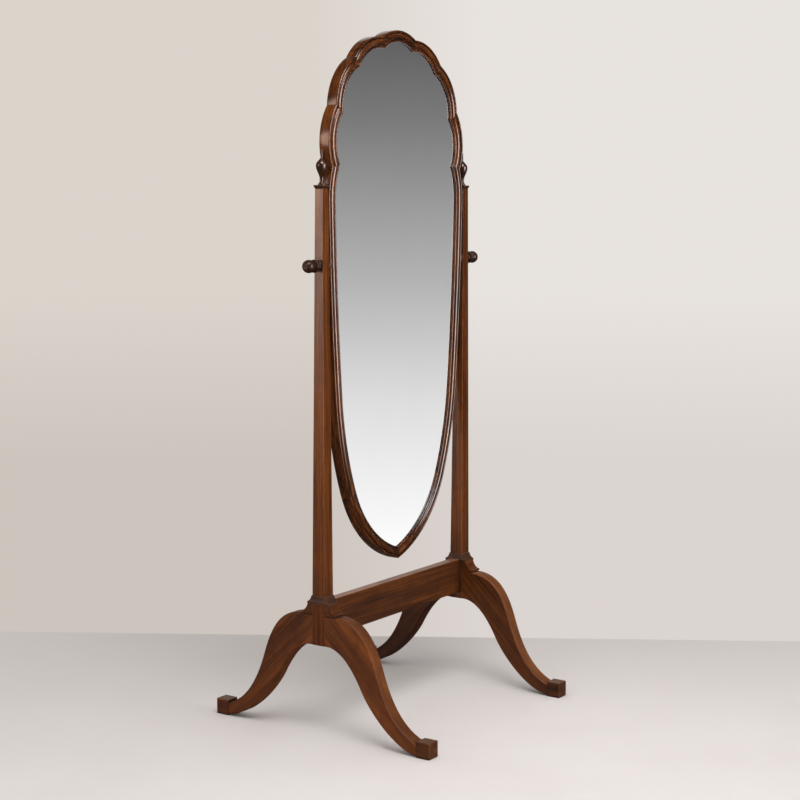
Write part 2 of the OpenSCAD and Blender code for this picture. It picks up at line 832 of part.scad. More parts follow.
// Small blocks glued in the rebate behind the glass
module glass_blocks() {
    color(pale_wood)
        translate([0, 0, axis_z])
            for (s = [-1, 1])
                side_copy(s) {
                    block_on(stile_run, 0.12);
                    block_on(stile_run, 0.5);
                    block_on(stile_run, 0.88);
                    block_on(lower_run, 0.4);
                    block_on(point_run, 0.55);
                    block_on(lobe1_run, 0.5);
                    block_on(lobe3_run, 0.5);
                }
}

// A block that touches the wall of the rebate at its two ends
module block_on(run, share) {
    block_w = 8;
    c = run[0][0];
    r = run[0][1];
    dip = r - sqrt(r * r - block_l * block_l / 4);
    translate([c.x, 0, c.y])
        rotate([0, -bearing_at(run, share), 0])
            translate([r + glass_rebate - 2 * glue - dip - block_w, glass_back + glue,
                       -block_l / 2])
                cube([block_w, board_front - glass_back - 2 * glue, block_l]);
}

// ---- Pivots and knobs ---------------------------------------------------

plate_screw_in = 8;
plate_screw_zs = [plate_screw_in - plate_l / 2, plate_l / 2 - plate_screw_in];

module pivot_plate() {
    color(brass)
        translate([0, 0, axis_z])
            difference() {
                union() {
                    translate([plate_face - plate_t, -plate_w / 2, -plate_l / 2])
                        cube([plate_t, plate_w, plate_l]);
                    rod_x(boss_d, plate_face - plate_t - boss_l, plate_face - plate_t + eps);
                }
                rod_x(bolt_d + 2 * bolt_fit, plate_face - plate_t - boss_l - past,
                      plate_face + past);
                for (z = plate_screw_zs)
                    translate([0, 0, z]) {
                        rod_x(screw_shank_d + 2 * glue, plate_face - plate_t - past,
                              plate_face + past);
                        rod_x(screw_head_d + 2 * glue, plate_face - screw_head_t,
                              plate_face + past);
                    }
            }
}

module pivot_plate_screws() {
    color(brass)
        for (s = [-1, 1], z = plate_screw_zs)
            side_copy(s)
                translate([0, 0, axis_z + z]) {
                    rod_x(screw_shank_d, plate_face - screw_l, plate_face - screw_head_t / 2);
                    rod_x(screw_head_d, plate_face - screw_head_t, plate_face - sunk);
                }
}

module friction_washer() {
    color("#8a5a3a")
        translate([0, 0, axis_z])
            difference() {
                rod_x(friction_d, plate_face, plate_face + friction_t - pad);
                rod_x(bolt_d + 2 * pad, plate_face - past, plate_face + friction_t + past);
            }
}

knob_x = post_x + axis_post_half + washer_t + 2 * pad;
bolt_head_x = knob_x + ball_x;

module knob_washer() {
    color(brass)
        translate([0, 0, axis_z])
            difference() {
                rod_x(washer_d, knob_x - pad - washer_t, knob_x - pad);
                rod_x(bolt_d + 2 * bolt_fit, knob_x - pad - washer_t - past, knob_x);
            }
}

// Turned profile of the knob, from its base to the button on its end
module knob_outline() {
    base_t = 3;
    flat = sqrt(ball_r * ball_r - button_r * button_r);
    ring0 = ring_x - ring_t / 2;
    ring1 = ring_x + ring_t / 2;
    join = asin(groove_r / ball_r);
    open = asin(button_r / ball_r);
    polygon(concat([[0, 0], [knob_base_r, 0], [knob_base_r, base_t]],
                   curve3([knob_base_r, base_t], [knob_neck_r, base_t + 1],
                          [knob_neck_r, ring0 - 2], [knob_neck_r + 1.5, ring0], 6),
                   curve3([knob_neck_r + 1.5, ring0], [ring_r, ring0],
                          [ring_r, ring_x - 2], [ring_r, ring_x], 6),
                   curve3([ring_r, ring_x], [ring_r, ring_x + 2],
                          [ring_r, ring1], [groove_r, ring1], 6),
                   [for (i = [0 : 12]) let (a = 180 - join + (open + join - 180) * i / 12)
                       [ball_r * sin(a), ball_x + ball_r * cos(a)]],
                   [[button_r - 1, ball_x + flat], [button_r - 1.6, ball_x + flat + 0.8],
                    [0, ball_x + flat + 0.8]]));
}

module knob() {
    color(dark_wood)
        translate([knob_x, 0, axis_z])
            rotate([0, 90, 0])
                difference() {
                    rotate_extrude()
                        knob_outline();
                    translate([0, 0, -past])
                        cylinder(d = bolt_d + 2 * glue, h = ball_x + past + glue);
                }
}

// The bolt is fast in the knob, runs through the post and screws into the boss
module pivot_bolt() {
    color("#8c8f93")
        translate([0, 0, axis_z])
            rod_x(bolt_d, plate_face - plate_t - boss_l + past, bolt_head_x);
}

side_copy(-1) post();  // left_post
side_copy(1) post();  // right_post
side_copy(-1) rear_copy(-1) front_leg();  // left_front_leg
side_copy(1) rear_copy(-1) front_leg();  // right_front_leg
side_copy(-1) rear_copy(1) front_leg();  // left_rear_leg
side_copy(1) rear_copy(1) front_leg();  // right_rear_leg
side_copy(-1) rear_copy(-1) front_toe();  // left_front_toe
side_copy(1) rear_copy(-1) front_toe();  // right_front_toe
side_copy(-1) rear_copy(1) front_toe();  // left_rear_toe
side_copy(1) rear_copy(1) front_toe();  // right_rear_toe
stretcher_rail();
side_copy(-1) collar();  // left_post_collar
side_copy(1) collar();  // right_post_collar
side_copy(-1) rear_copy(-1) front_saddle();  // left_front_saddle
side_copy(1) rear_copy(-1) front_saddle();  // right_front_saddle
side_copy(-1) rear_copy(1) front_saddle();  // left_rear_saddle
side_copy(1) rear_copy(1) front_saddle();  // right_rear_saddle
side_copy(-1) post_cap();  // left_post_cap
side_copy(1) post_cap();  // right_post_cap
side_copy(-1) finial();  // left_finial
side_copy(1) finial();  // right_finial
leg_dowels();
side_copy(-1) stile();  // left_stile
side_copy(1) stile();  // right_stile
side_copy(-1) point_rail();  // left_point_rail
side_copy(1) point_rail();  // right_point_rail
side_copy(-1) shoulder_rail();  // left_shoulder_rail
side_copy(1) shoulder_rail();  // right_shoulder_rail
side_copy(-1) upper_rail();  // left_upper_rail
side_copy(1) upper_rail();  // right_upper_rail
side_copy(-1) crown_rail();  // left_crown_rail
side_copy(1) crown_rail();  // right_crown_rail
crest_rail();
frame_dowels();
mirror_glass();
back_board();
glass_blocks();
back_board_screws();
side_copy(-1) pivot_plate();  // left_pivot_plate
side_copy(1) pivot_plate();  // right_pivot_plate
pivot_plate_screws();
side_copy(-1) friction_washer();  // left_friction_washer
side_copy(1) friction_washer();  // right_friction_washer
side_copy(-1) knob_washer();  // left_knob_washer
side_copy(1) knob_washer();  // right_knob_washer
side_copy(-1) knob();  // left_knob
side_copy(1) knob();  // right_knob
side_copy(-1) pivot_bolt();  // left_pivot_bolt
side_copy(1) pivot_bolt();  // right_pivot_bolt
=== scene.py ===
import json
import math
import bmesh
import bpy
from mathutils import Matrix, Vector


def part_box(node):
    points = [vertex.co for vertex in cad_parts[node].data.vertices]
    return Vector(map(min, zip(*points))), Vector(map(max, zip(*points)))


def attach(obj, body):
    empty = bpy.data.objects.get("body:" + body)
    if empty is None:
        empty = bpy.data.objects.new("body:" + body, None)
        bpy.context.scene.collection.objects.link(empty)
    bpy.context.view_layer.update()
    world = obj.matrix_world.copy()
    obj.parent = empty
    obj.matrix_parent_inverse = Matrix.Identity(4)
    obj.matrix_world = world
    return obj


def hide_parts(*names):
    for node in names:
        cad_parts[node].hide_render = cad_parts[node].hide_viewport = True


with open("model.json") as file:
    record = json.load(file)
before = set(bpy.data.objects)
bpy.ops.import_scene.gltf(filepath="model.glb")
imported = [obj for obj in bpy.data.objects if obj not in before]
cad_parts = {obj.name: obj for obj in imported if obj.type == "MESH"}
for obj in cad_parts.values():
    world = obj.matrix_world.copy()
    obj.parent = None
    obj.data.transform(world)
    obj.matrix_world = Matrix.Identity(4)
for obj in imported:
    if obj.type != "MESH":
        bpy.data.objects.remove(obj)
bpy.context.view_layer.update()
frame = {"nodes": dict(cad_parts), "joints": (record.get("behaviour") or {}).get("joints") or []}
bpy.ops.object.select_all(action="DESELECT")

# ---- Posts
# Two square posts of solid mahogany carry the mirror. Each is planed to a
# taper from its collar to its top, sanded at the arrises and french polished.


class Stain:
    """One value or colour in the recipe of a finish."""

    def __init__(self, tree, socket=None):
        self.tree = tree
        self.socket = socket

    def step(self, kind, inputs=None, out=0, stops=None, **settings):
        node = self.tree.nodes.new("ShaderNode" + kind)
        for name, value in settings.items():
            setattr(node, name, value)
        if stops:
            node.color_ramp.elements[0].position = stops[0][0]
            node.color_ramp.elements[0].color = stops[0][1]
            node.color_ramp.elements[1].position = stops[-1][0]
            node.color_ramp.elements[1].color = stops[-1][1]
            for position, colour in stops[1:-1]:
                node.color_ramp.elements.new(position).color = colour
        for name, value in (inputs or {}).items():
            if isinstance(value, Stain):
                self.tree.links.new(value.socket, node.inputs[name])
            else:
                node.inputs[name].default_value = value
        return Stain(self.tree, node.outputs[out])

    def maths(self, operation, first, second):
        return self.step("Math", {0: first, 1: second}, operation=operation)

    def __add__(self, other):
        return self.maths("ADD", self, other)

    def __sub__(self, other):
        return self.maths("SUBTRACT", self, other)

    def __mul__(self, other):
        return self.maths("MULTIPLY", self, other)

    def __rsub__(self, other):
        return self.maths("SUBTRACT", other, self)

    __radd__ = __add__
    __rmul__ = __mul__

    def between(self, low, high):
        """0 below low, 1 above high and an even rise between them."""
        return self.step("MapRange", {0: self, 1: low, 2: high}, clamp=True)

    def over(self, under, colour, how="MIX"):
        """This much of a colour laid over the one under it."""
        return self.step("Mix", {0: self, 6: under, 7: colour}, out=2, data_type="RGBA",
                         blend_type=how, clamp_factor=True)

    def grain(self, place, across, along, detail=2.0, rough=0.5, wander=0.0):
        """Noise drawn out along the grain, which stands upright."""
        drawn = self.step("Mapping", {"Vector": place, "Scale": (across, across, along)})
        return self.step("TexNoise", {"Vector": drawn, "Scale": 1.0, "Detail": detail,
                                      "Roughness": rough, "Distortion": wander})


def tint(red, green, blue):
    """A colour as a painter's card gives it, made ready for light."""
    return tuple(((c / 255 + 0.055) / 1.055) ** 2.4 if c > 10 else c / 255 / 12.92
                 for c in (red, green, blue)) + (1.0,)


def mahogany(name, lie=(0, 0, 0), board=(0, 0, 0), depth=1.0, dull=0.24, smoke=0.0, worn=0.5,
             darker_under=0.0, painted_top_shading=None, wild=1.0):
    """Polished mahogany. The angles turn the grain upright and board picks the plank. A
    higher depth is paler, dull roughens the polish, smoke greys the stain, the arris amount
    says how much the arrises are rubbed and made paler, which is wear and also a painted
    highlight along them, the darkening height is the one under which the wood is darker
    towards the bottom, the upward colour is painted light and shade on the faces turned
    upwards, and wild how strong the figure is."""
    finish = bpy.data.materials.new(name)
    finish.use_nodes = True
    wood = finish.node_tree.nodes["Principled BSDF"]
    mix = Stain(finish.node_tree)
    here = mix.step("TexCoord", out="Object")
    place = mix.step("Mapping", {"Vector": here, "Rotation": lie, "Location": board})
    figure = mix.grain(place, 16, 1.3, 3.0, 0.55, 0.8)
    ribbon = mix.grain(place, 74, 2.4, 2.0, 0.5, 0.4)
    streak = mix.grain(place, 210, 5, 2.0, 0.5)
    fibre = mix.grain(place, 420, 12, 2.0, 0.6)
    pores = mix.grain(place, 900, 32, 1.0, 0.4).between(0.6, 0.7)
    tone = figure * 0.3 + ribbon * 0.28 + streak * 0.24 + fibre * 0.18
    dark, middle, light = (tuple(c * depth for c in paint[:3]) + (1.0,)
                           for paint in (tint(44, 19, 7), tint(92, 47, 15), tint(134, 74, 27)))
    colour = mix.step("ValToRGB", {"Fac": tone},
                      stops=[(0.5 - 0.14 / wild, dark), (0.5, middle),
                             (0.5 + 0.14 / wild, light)])
    colour = (pores * 0.4).over(colour, dark)
    colour = mix.step("Mix", {0: smoke, 6: colour, 7: tint(58, 44, 38)}, out=2,
                      data_type="RGBA")
    # Old polish lies thicker in some places and has gone brown there
    patina = mix.grain(here, 34, 22, 4.0, 0.62).between(0.46, 0.74)
    colour = (patina * 0.4).over(colour, tint(44, 22, 11))
    # Darker towards the bottom, under the given height
    if darker_under:
        low = 1.0 - mix.step("SeparateXYZ", {0: here}, out="Z").between(darker_under, darker_under + 0.1)
        colour = (low * 0.4).over(colour, tint(52, 24, 14))
    # Painted light and shade: the faces turned upwards take their own colour in patches, paler
    # than the wood on some pieces and darker on others
    if painted_top_shading:
        up = mix.step("SeparateXYZ", {0: mix.step("NewGeometry", out="Normal")}, out="Z")
        top_shading_patches = mix.grain(place, 60, 16, 3.0, 0.6).between(0.3, 0.7)
        colour = (up.between(0.15, 0.6) * (top_shading_patches * 0.5 + 0.3)).over(colour, painted_top_shading)
    sheen = fibre * 0.14 + patina * 0.06 + (dull - 0.07)
    if worn:
        # Handling has worn the polish thin on the arrises; their paler colour is that wear and
        # also a painted highlight along them
        face = mix.step("NewGeometry", out="Normal")
        eased = mix.step("Bevel", {"Radius": 0.0022}, samples=4)
        turned = mix.step("VectorMath", {0: eased, 1: face}, out="Value",
                          operation="DOT_PRODUCT")
        wear_and_highlight_patches = mix.grain(here, 70, 55, 4.0, 0.65).between(0.36, 0.6)
        edge = (1.0 - turned).between(0.02, 0.16)
        colour = (edge * wear_and_highlight_patches * worn).over(colour, tint(152, 98, 58))
        sheen = sheen + edge * 0.4
    # Painted shade: the wood is darkened in the corners and hollows as far as they are closed in,
    # and the polish there is rougher with old wax and dust
    shut = 1.0 - mix.step("AmbientOcclusion", {"Distance": 0.012}, out="AO", samples=6)
    corner_shade_and_wax = shut.between(0.12, 0.6)
    colour = (corner_shade_and_wax * 0.8).over(colour, tint(22, 12, 8))
    finish.node_tree.links.new(colour.socket, wood.inputs["Base Color"])
    sheen = sheen + corner_shade_and_wax * 0.3
    finish.node_tree.links.new(sheen.socket, wood.inputs["Roughness"])
    wood.inputs["Specular IOR Level"].default_value = 0.5 if dull < 0.3 else 0.2
    relief = mix.step("Bump", {"Strength": 0.12, "Distance": 0.0004,
                               "Height": fibre - pores * 0.8})
    finish.node_tree.links.new(relief.socket, wood.inputs["Normal"])
    return finish


def choose(kind, test):
    """In edit mode, selects only the points, edges or faces that pass a test."""
    bpy.ops.mesh.select_mode(type=kind)
    bpy.ops.mesh.select_all(action="DESELECT")
    mesh = bpy.context.edit_object.data
    work = bmesh.from_edit_mesh(mesh)
    for item in {"VERT": work.verts, "EDGE": work.edges, "FACE": work.faces}[kind]:
        item.select_set(bool(test(item)))
    bmesh.update_edit_mesh(mesh)


def bar(name, low, high):
    """A length of wood sawn square between two corners."""
    bpy.ops.mesh.primitive_cube_add(size=1, location=(low + high) / 2)
    piece = bpy.context.object
    piece.name = name
    piece.scale = high - low
    bpy.ops.object.transform_apply()
    return piece


def ease(piece, width, steps=2, angle=35):
    """Takes the sharpness off every arris."""
    bevel = piece.modifiers.new("arris", "BEVEL")
    bevel.width = width
    bevel.segments = steps
    bevel.angle_limit = math.radians(angle)
    bpy.context.view_layer.objects.active = piece
    bpy.ops.object.modifier_apply(modifier=bevel.name)


def take_up(piece):
    """Makes a piece the only one selected."""
    bpy.ops.object.select_all(action="DESELECT")
    piece.select_set(True)
    bpy.context.view_layer.objects.active = piece


def fellow(piece, name, flip):
    """A copy with its own mesh, handed the other way."""
    take_up(piece)
    bpy.ops.object.duplicate()
    twin = bpy.context.object
    twin.name = name
    bpy.ops.object.mode_set(mode="EDIT")
    bpy.ops.mesh.select_all(action="SELECT")
    bpy.ops.transform.resize(value=flip, center_override=(0, 0, 0))
    bpy.ops.mesh.normals_make_consistent(inside=False)
    bpy.ops.object.mode_set(mode="OBJECT")
    return twin


def fit(piece, finish, body, slot, *stands_for):
    """Finishes a piece and puts it on its body."""
    take_up(piece)
    piece.data.materials.clear()
    piece.data.materials.append(finish)
    bpy.ops.object.shade_smooth_by_angle(angle=math.radians(32))
    if body != "mirror":
        # Keeps broad flat faces flat right up to their rounded arrises
        true = piece.modifiers.new("flats", "WEIGHTED_NORMAL")
        true.keep_sharp = True
        bpy.ops.object.modifier_apply(modifier=true.name)
    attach(piece, body)
    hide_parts(*stands_for)
    bpy.ops.object.select_all(action="DESELECT")


post_low, post_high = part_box("right_post")
collar_low, collar_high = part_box("right_post_collar")
post_x = (post_low.x + post_high.x) / 2
post_foot = post_high.y
post_top = 0.0105
right_post = bar("post_right", post_low, Vector((post_high.x, post_high.y, collar_high.z)))
bpy.ops.object.mode_set(mode="EDIT")
choose("FACE", lambda face: face.normal.z > 0.9)
bpy.ops.mesh.extrude_region_move(
    TRANSFORM_OT_translate={"value": (0, 0, post_high.z - collar_high.z)})
bpy.ops.transform.resize(value=(post_top / post_foot, post_top / post_foot, 1),
                         center_override=(post_x, 0, post_high.z))
bpy.ops.object.mode_set(mode="OBJECT")
ease(right_post, 0.0008, 2)
left_post = fellow(right_post, "post_left", (-1, 1, 1))
# Both posts are darker towards the bottom, under 0.3 m
fit(right_post, mahogany("right post mahogany", board=(0.31, 0, 0), depth=1.0,
                         dull=0.2, darker_under=0.3), "stand", "mahogany", "right_post")
fit(left_post, mahogany("left post mahogany", board=(0.77, 0.2, 0), depth=1.08,
                        dull=0.2, darker_under=0.3), "stand", "mahogany", "left_post")

# ---- Legs
# Four sabre legs, sawn from thick plank and rounded over on top. Each is
# dowelled flush to the foot of its post, and its grain follows the leg down.


def sweep(p0, p1, p2, p3, count):
    """Points of a smooth curve that leaves p0 towards p1 and reaches p3 from p2."""
    marks = [(i + 1) / count for i in range(count)]
    return [(1 - t) ** 3 * p0 + 3 * (1 - t) ** 2 * t * p1 + 3 * (1 - t) * t * t * p2
            + t ** 3 * p3 for t in marks]


def sawn(name, outline, depth):
    """A shape sawn from plank: an outline in space, and the plank's thickness."""
    bpy.ops.mesh.primitive_circle_add(vertices=len(outline), fill_type="NGON")
    piece = bpy.context.object
    piece.name = name
    bpy.ops.object.mode_set(mode="EDIT")
    work = bmesh.from_edit_mesh(piece.data)
    for point, vert in zip(outline, work.verts):
        vert.co = point
    bmesh.update_edit_mesh(piece.data)
    bpy.ops.mesh.select_all(action="SELECT")
    bpy.ops.mesh.extrude_region_move(TRANSFORM_OT_translate={"value": depth})
    bpy.ops.mesh.select_all(action="SELECT")
    bpy.ops.mesh.normals_make_consistent(inside=False)
    bpy.ops.object.mode_set(mode="OBJECT")
    return piece


leg_low, leg_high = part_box("right_front_leg")
toe_low, toe_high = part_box("right_front_toe")
leg_end = -leg_low.y
leg_top = leg_high.z
saddle_reach = -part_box("right_front_saddle")[0].y
brow = Vector((saddle_reach - 0.003, leg_top))
knee = Vector((0.154, 0.172))
knee_fall = Vector((0.312, -0.95))
instep = Vector((leg_end, 0.030))
heel = Vector((leg_end, leg_low.z))
arch = Vector((0.116, 0.121))
arch_fall = Vector((0.467, -0.884))
crown = Vector((post_foot, post_low.z))
upper = [Vector((post_foot, leg_top)), brow]
upper += sweep(brow, brow + Vector((0.052, 0)), knee - 0.077 * knee_fall, knee, 18)
upper += sweep(knee, knee + 0.046 * knee_fall, instep + Vector((-0.068, 0.024)), instep, 16)
lower = [heel]
lower += sweep(heel, heel + Vector((-0.059, 0.003)), arch + 0.043 * arch_fall, arch, 16)
lower += sweep(arch, arch - 0.098 * arch_fall, crown + Vector((0.014, 0.001)), crown, 18)
right_front_leg = sawn("leg_right_front",
                       [Vector((leg_low.x, -p.x, p.y)) for p in upper + lower],
                       (leg_high.x - leg_low.x, 0, 0))
on_top = {(round(p.x, 4), round(p.y, 4)) for p in upper}
on_sole = {(round(p.x, 4), round(p.y, 4)) for p in lower}


def runs_along(edge, edges_of):
    """Whether an edge lies on a sawn side and follows one of the leg's two curves."""
    a, b = (v.co for v in edge.verts)
    return abs(a.x - b.x) < 1e-5 and {(round(-a.y, 4), round(a.z, 4)),
                                      (round(-b.y, 4), round(b.z, 4))} <= edges_of


bpy.ops.object.mode_set(mode="EDIT")
choose("EDGE", lambda edge: runs_along(edge, on_top))
bpy.ops.mesh.bevel(offset=0.0044, segments=4, profile=0.5)
choose("EDGE", lambda edge: runs_along(edge, on_sole))
bpy.ops.mesh.bevel(offset=0.0022, segments=3, profile=0.5)
bpy.ops.object.mode_set(mode="OBJECT")
ease(right_front_leg, 0.0005, 1, 60)
left_front_leg = fellow(right_front_leg, "leg_left_front", (-1, 1, 1))
right_rear_leg = fellow(right_front_leg, "leg_right_rear", (1, -1, 1))
left_rear_leg = fellow(left_front_leg, "leg_left_rear", (1, -1, 1))
front_lie = (math.radians(46), 0, 0)
rear_lie = (math.radians(-46), 0, 0)
# The faces turned upwards of each leg get painted light and shade in their own colour
for leg, node, lie, board, depth, painted_top_shading in (
        (right_front_leg, "right_front_leg", front_lie, (0.1, 0, 0), 0.72, tint(122, 72, 38)),
        (left_front_leg, "left_front_leg", front_lie, (0.5, 0.3, 0), 1.18, tint(66, 38, 23)),
        (right_rear_leg, "right_rear_leg", rear_lie, (0.9, 0, 0.4), 0.38, tint(90, 52, 30)),
        (left_rear_leg, "left_rear_leg", rear_lie, (1.3, 0.1, 0), 0.95, tint(66, 38, 23))):
    fit(leg, mahogany(node.replace("_", " ") + " mahogany", lie, board, depth, 0.5, painted_top_shading=painted_top_shading,
                      wild=0.8), "stand", "mahogany", node)

# ---- Toes
# A square block of darker mahogany is glued to the end of each leg as its
# foot. Kicks and damp have rounded its arrises and darkened the wood.
right_front_toe = bar("toe_right_front", toe_low, toe_high)
ease(right_front_toe, 0.0022, 3)
left_front_toe = fellow(right_front_toe, "toe_left_front", (-1, 1, 1))
right_rear_toe = fellow(right_front_toe, "toe_right_rear", (1, -1, 1))
left_rear_toe = fellow(left_front_toe, "toe_left_rear", (1, -1, 1))
toe_lie = (math.radians(90), 0, 0)
# The faces turned upwards get a paler colour: a painted sheen
for toe, node, start in ((right_front_toe, "right_front_toe", 0.2),
                         (left_front_toe, "left_front_toe", 0.6),
                         (right_rear_toe, "right_rear_toe", 1.1),
                         (left_rear_toe, "left_rear_toe", 1.7)):
    fit(toe, mahogany(node.replace("_", " ") + " mahogany", toe_lie, (start, 0, 0), 0.5, 0.45,
                      0.12, 1.0, painted_top_shading=tint(104, 70, 50), wild=1.5), "stand", "mahogany", node)

# ---- Stretcher
# One flat rail of mahogany holds the stand square. It is planed, rounded at
# its arrises, and tenoned at both ends into the posts.
rail_low, rail_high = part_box("stretcher_rail")
rail_end = post_x - post_foot
rail = bar("stretcher", Vector((-rail_end, rail_low.y, rail_low.z)),
           Vector((rail_end, rail_high.y, rail_high.z)))
ease(rail, 0.0014, 3)
# The top face gets a paler colour: a painted highlight
fit(rail, mahogany("stretcher mahogany", (0, math.radians(90), 0), (0.4, 0.6, 0), 0.66, 0.34,
                    0.15, painted_top_shading=tint(150, 104, 78), wild=1.4), "stand", "mahogany", "stretcher_rail")

# ---- Collars, saddles and caps
# Small mouldings of darker wood, worked to a hollow and glued on: a collar
# round each post, a saddle on top of each leg, and a cap on each post.


def grown(name, sides, foot, levels, turn=(0, 0, 0), hollow=False):
    """A flat face drawn out level by level: half width, half depth and height."""
    bpy.ops.mesh.primitive_circle_add(vertices=sides, radius=1,
                                      fill_type="NOTHING" if hollow else "NGON")
    piece = bpy.context.object
    piece.name = name
    bpy.ops.object.mode_set(mode="EDIT")
    bpy.ops.mesh.select_all(action="SELECT")
    if sides == 4:
        bpy.ops.transform.rotate(value=math.radians(45), orient_axis="Z",
                                 center_override=(0, 0, 0))
        bpy.ops.transform.resize(value=(math.sqrt(2), math.sqrt(2), 1),
                                 center_override=(0, 0, 0))
    bpy.ops.transform.resize(value=(levels[0][0], levels[0][1], 1), center_override=(0, 0, 0))
    bpy.ops.transform.translate(value=(0, 0, levels[0][2]))
    for (wide, deep, high), (wider, deeper, higher) in zip(levels, levels[1:]):
        bpy.ops.mesh.extrude_region_move(
            TRANSFORM_OT_translate={"value": (0, 0, higher - high)})
        bpy.ops.transform.resize(value=(wider / wide, deeper / deep, 1),
                                 center_override=(0, 0, higher))
    if hollow:
        choose("EDGE", lambda edge: edge.is_boundary)
        bpy.ops.mesh.bridge_edge_loops()
    bpy.ops.mesh.select_all(action="SELECT")
    bpy.ops.mesh.normals_make_consistent(inside=False)
    bpy.ops.object.mode_set(mode="OBJECT")
    piece.rotation_euler = turn
    piece.location = foot
    bpy.ops.object.transform_apply()
    return piece


collar_out_x = collar_high.x - post_x - post_foot
collar_out_y = collar_high.y - post_foot
collar_h = collar_high.z - collar_low.z
hollow_side = [Vector((1, 0)), Vector((1, 0.18))]
hollow_side += sweep(Vector((1, 0.2)), Vector((0.62, 0.3)), Vector((0.3, 0.55)),
                     Vector((0.24, 0.86)), 8)
hollow_side += [Vector((0.16, 0.92)), Vector((0.16, 1))]
collar_rings = [(post_foot + p.x * collar_out_x, post_foot + p.x * collar_out_y,
                 p.y * collar_h) for p in hollow_side]
collar_rings += [(post_foot, post_foot, collar_h), (post_foot, post_foot, 0.0)]
right_collar = grown("collar_right", 4, Vector((post_x, 0, collar_low.z)), collar_rings,
                     hollow=True)
ease(right_collar, 0.0005, 2, 50)
left_collar = fellow(right_collar, "collar_left", (-1, 1, 1))
fit(right_collar, mahogany("right collar mahogany", board=(0.15, 0, 0), depth=0.5, dull=0.38,
                           smoke=0.5), "stand", "dark_mahogany", "right_post_collar")
fit(left_collar, mahogany("left collar mahogany", board=(0.95, 0, 0), depth=0.5, dull=0.38,
                          smoke=0.5), "stand", "dark_mahogany", "left_post_collar")

saddle_low, saddle_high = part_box("right_front_saddle")
nosing = 0.006
nose = saddle_reach - nosing / 2
saddle_foot = Vector((nose - 0.001, leg_top + nosing))
saddle_top = Vector((collar_high.y, saddle_high.z))
nose_turn = [math.radians(a) for a in range(-90, 91, 20)]
saddle_side = [Vector((post_foot, saddle_low.z))]
saddle_side += [Vector((nose + nosing / 2 * math.cos(a),
                        leg_top + nosing / 2 + nosing / 2 * math.sin(a))) for a in nose_turn]
saddle_side += [saddle_foot]
saddle_side += sweep(saddle_foot, saddle_foot + Vector((-0.007, 0.002)),
                     saddle_top + Vector((0.001, -0.008)), saddle_top, 12)
saddle_side += [Vector((post_foot, saddle_high.z))]
right_front_saddle = sawn("saddle_right_front",
                          [Vector((saddle_low.x, -p.x, p.y)) for p in saddle_side],
                          (saddle_high.x - saddle_low.x, 0, 0))
ease(right_front_saddle, 0.0005, 2, 50)
left_front_saddle = fellow(right_front_saddle, "saddle_left_front", (-1, 1, 1))
right_rear_saddle = fellow(right_front_saddle, "saddle_right_rear", (1, -1, 1))
left_rear_saddle = fellow(left_front_saddle, "saddle_left_rear", (1, -1, 1))
across_lie = (0, math.radians(90), 0)
for saddle, node, start in ((right_front_saddle, "right_front_saddle", 0.3),
                            (left_front_saddle, "left_front_saddle", 0.7),
                            (right_rear_saddle, "right_rear_saddle", 1.2),
                            (left_rear_saddle, "left_rear_saddle", 1.8)):
    fit(saddle, mahogany(node.replace("_", " ") + " mahogany", across_lie, (start, 0, 0), 0.8,
                         0.34, 0.1), "stand", "dark_mahogany", node)

cap_low, cap_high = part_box("right_post_cap")
cap_half = (cap_high.x - cap_low.x) / 2
cap_t = cap_high.z - cap_low.z
cap_rings = [(post_top, post_top, 0.0), (post_top + 0.0002, post_top + 0.0002, 0.0006),
             (post_top + 0.0008, post_top + 0.0008, 0.0016),
             (cap_half - 0.0005, cap_half - 0.0005, cap_t - 0.0025),
             (cap_half, cap_half, cap_t - 0.0024), (cap_half, cap_half, cap_t - 0.0006),
             (cap_half - 0.0006, cap_half - 0.0006, cap_t)]
right_cap = grown("cap_right", 4, Vector((post_x, 0, cap_low.z)), cap_rings)
ease(right_cap, 0.0004, 2, 50)
left_cap = fellow(right_cap, "cap_left", (-1, 1, 1))
fit(right_cap, mahogany("right cap mahogany", across_lie, (0.2, 0.5, 0), 0.5, 0.3, 0.4), "stand",
    "dark_mahogany", "right_post_cap")
fit(left_cap, mahogany("left cap mahogany", across_lie, (0.8, 0.1, 0), 0.5, 0.3, 0.4), "stand",
    "dark_mahogany", "left_post_cap")

# ---- Finials
# A finial of dark mahogany is turned in one piece, with a foot, a slim neck, a
# bulb and a slender tip. It stands on its cap, pegged through it into the post.
finial_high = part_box("right_finial")[1]
finial_foot = cap_high.z
finial_h = finial_high.z - finial_foot
finial_r = finial_high.x - post_x
neck = Vector((0.0045, finial_h * 0.165))
bulb = Vector((finial_r, finial_h * 0.55))
spire = Vector((0.0024, finial_h * 0.76))
point = Vector((0.002, finial_h - 0.002))
finial_side = [Vector((0.0078, 0)), Vector((0.008, 0.0003)), Vector((0.0083, 0.0015)),
               Vector((0.008, 0.0027)), Vector((0.008, 0.003))]
finial_side += sweep(Vector((0.008, 0.003)), Vector((0.0045, 0.004)),
                     neck - Vector((0, 0.004)), neck, 10)
finial_side += sweep(neck, neck + Vector((0, 0.011)), bulb - Vector((0, 0.013)), bulb, 16)
finial_side += sweep(bulb, bulb + Vector((0, 0.007)), spire + Vector((0.002, -0.004)), spire, 16)
finial_side += [(spire + point) / 2, point]
finial_side += sweep(point, Vector((0.002, finial_h - 0.0008)), Vector((0.001, finial_h)),
                     Vector((0.0002, finial_h)), 6)
right_finial = grown("finial_right", 48, Vector((post_x, 0, finial_foot)),
                     [(p.x, p.x, p.y) for p in finial_side])
left_finial = fellow(right_finial, "finial_left", (-1, 1, 1))
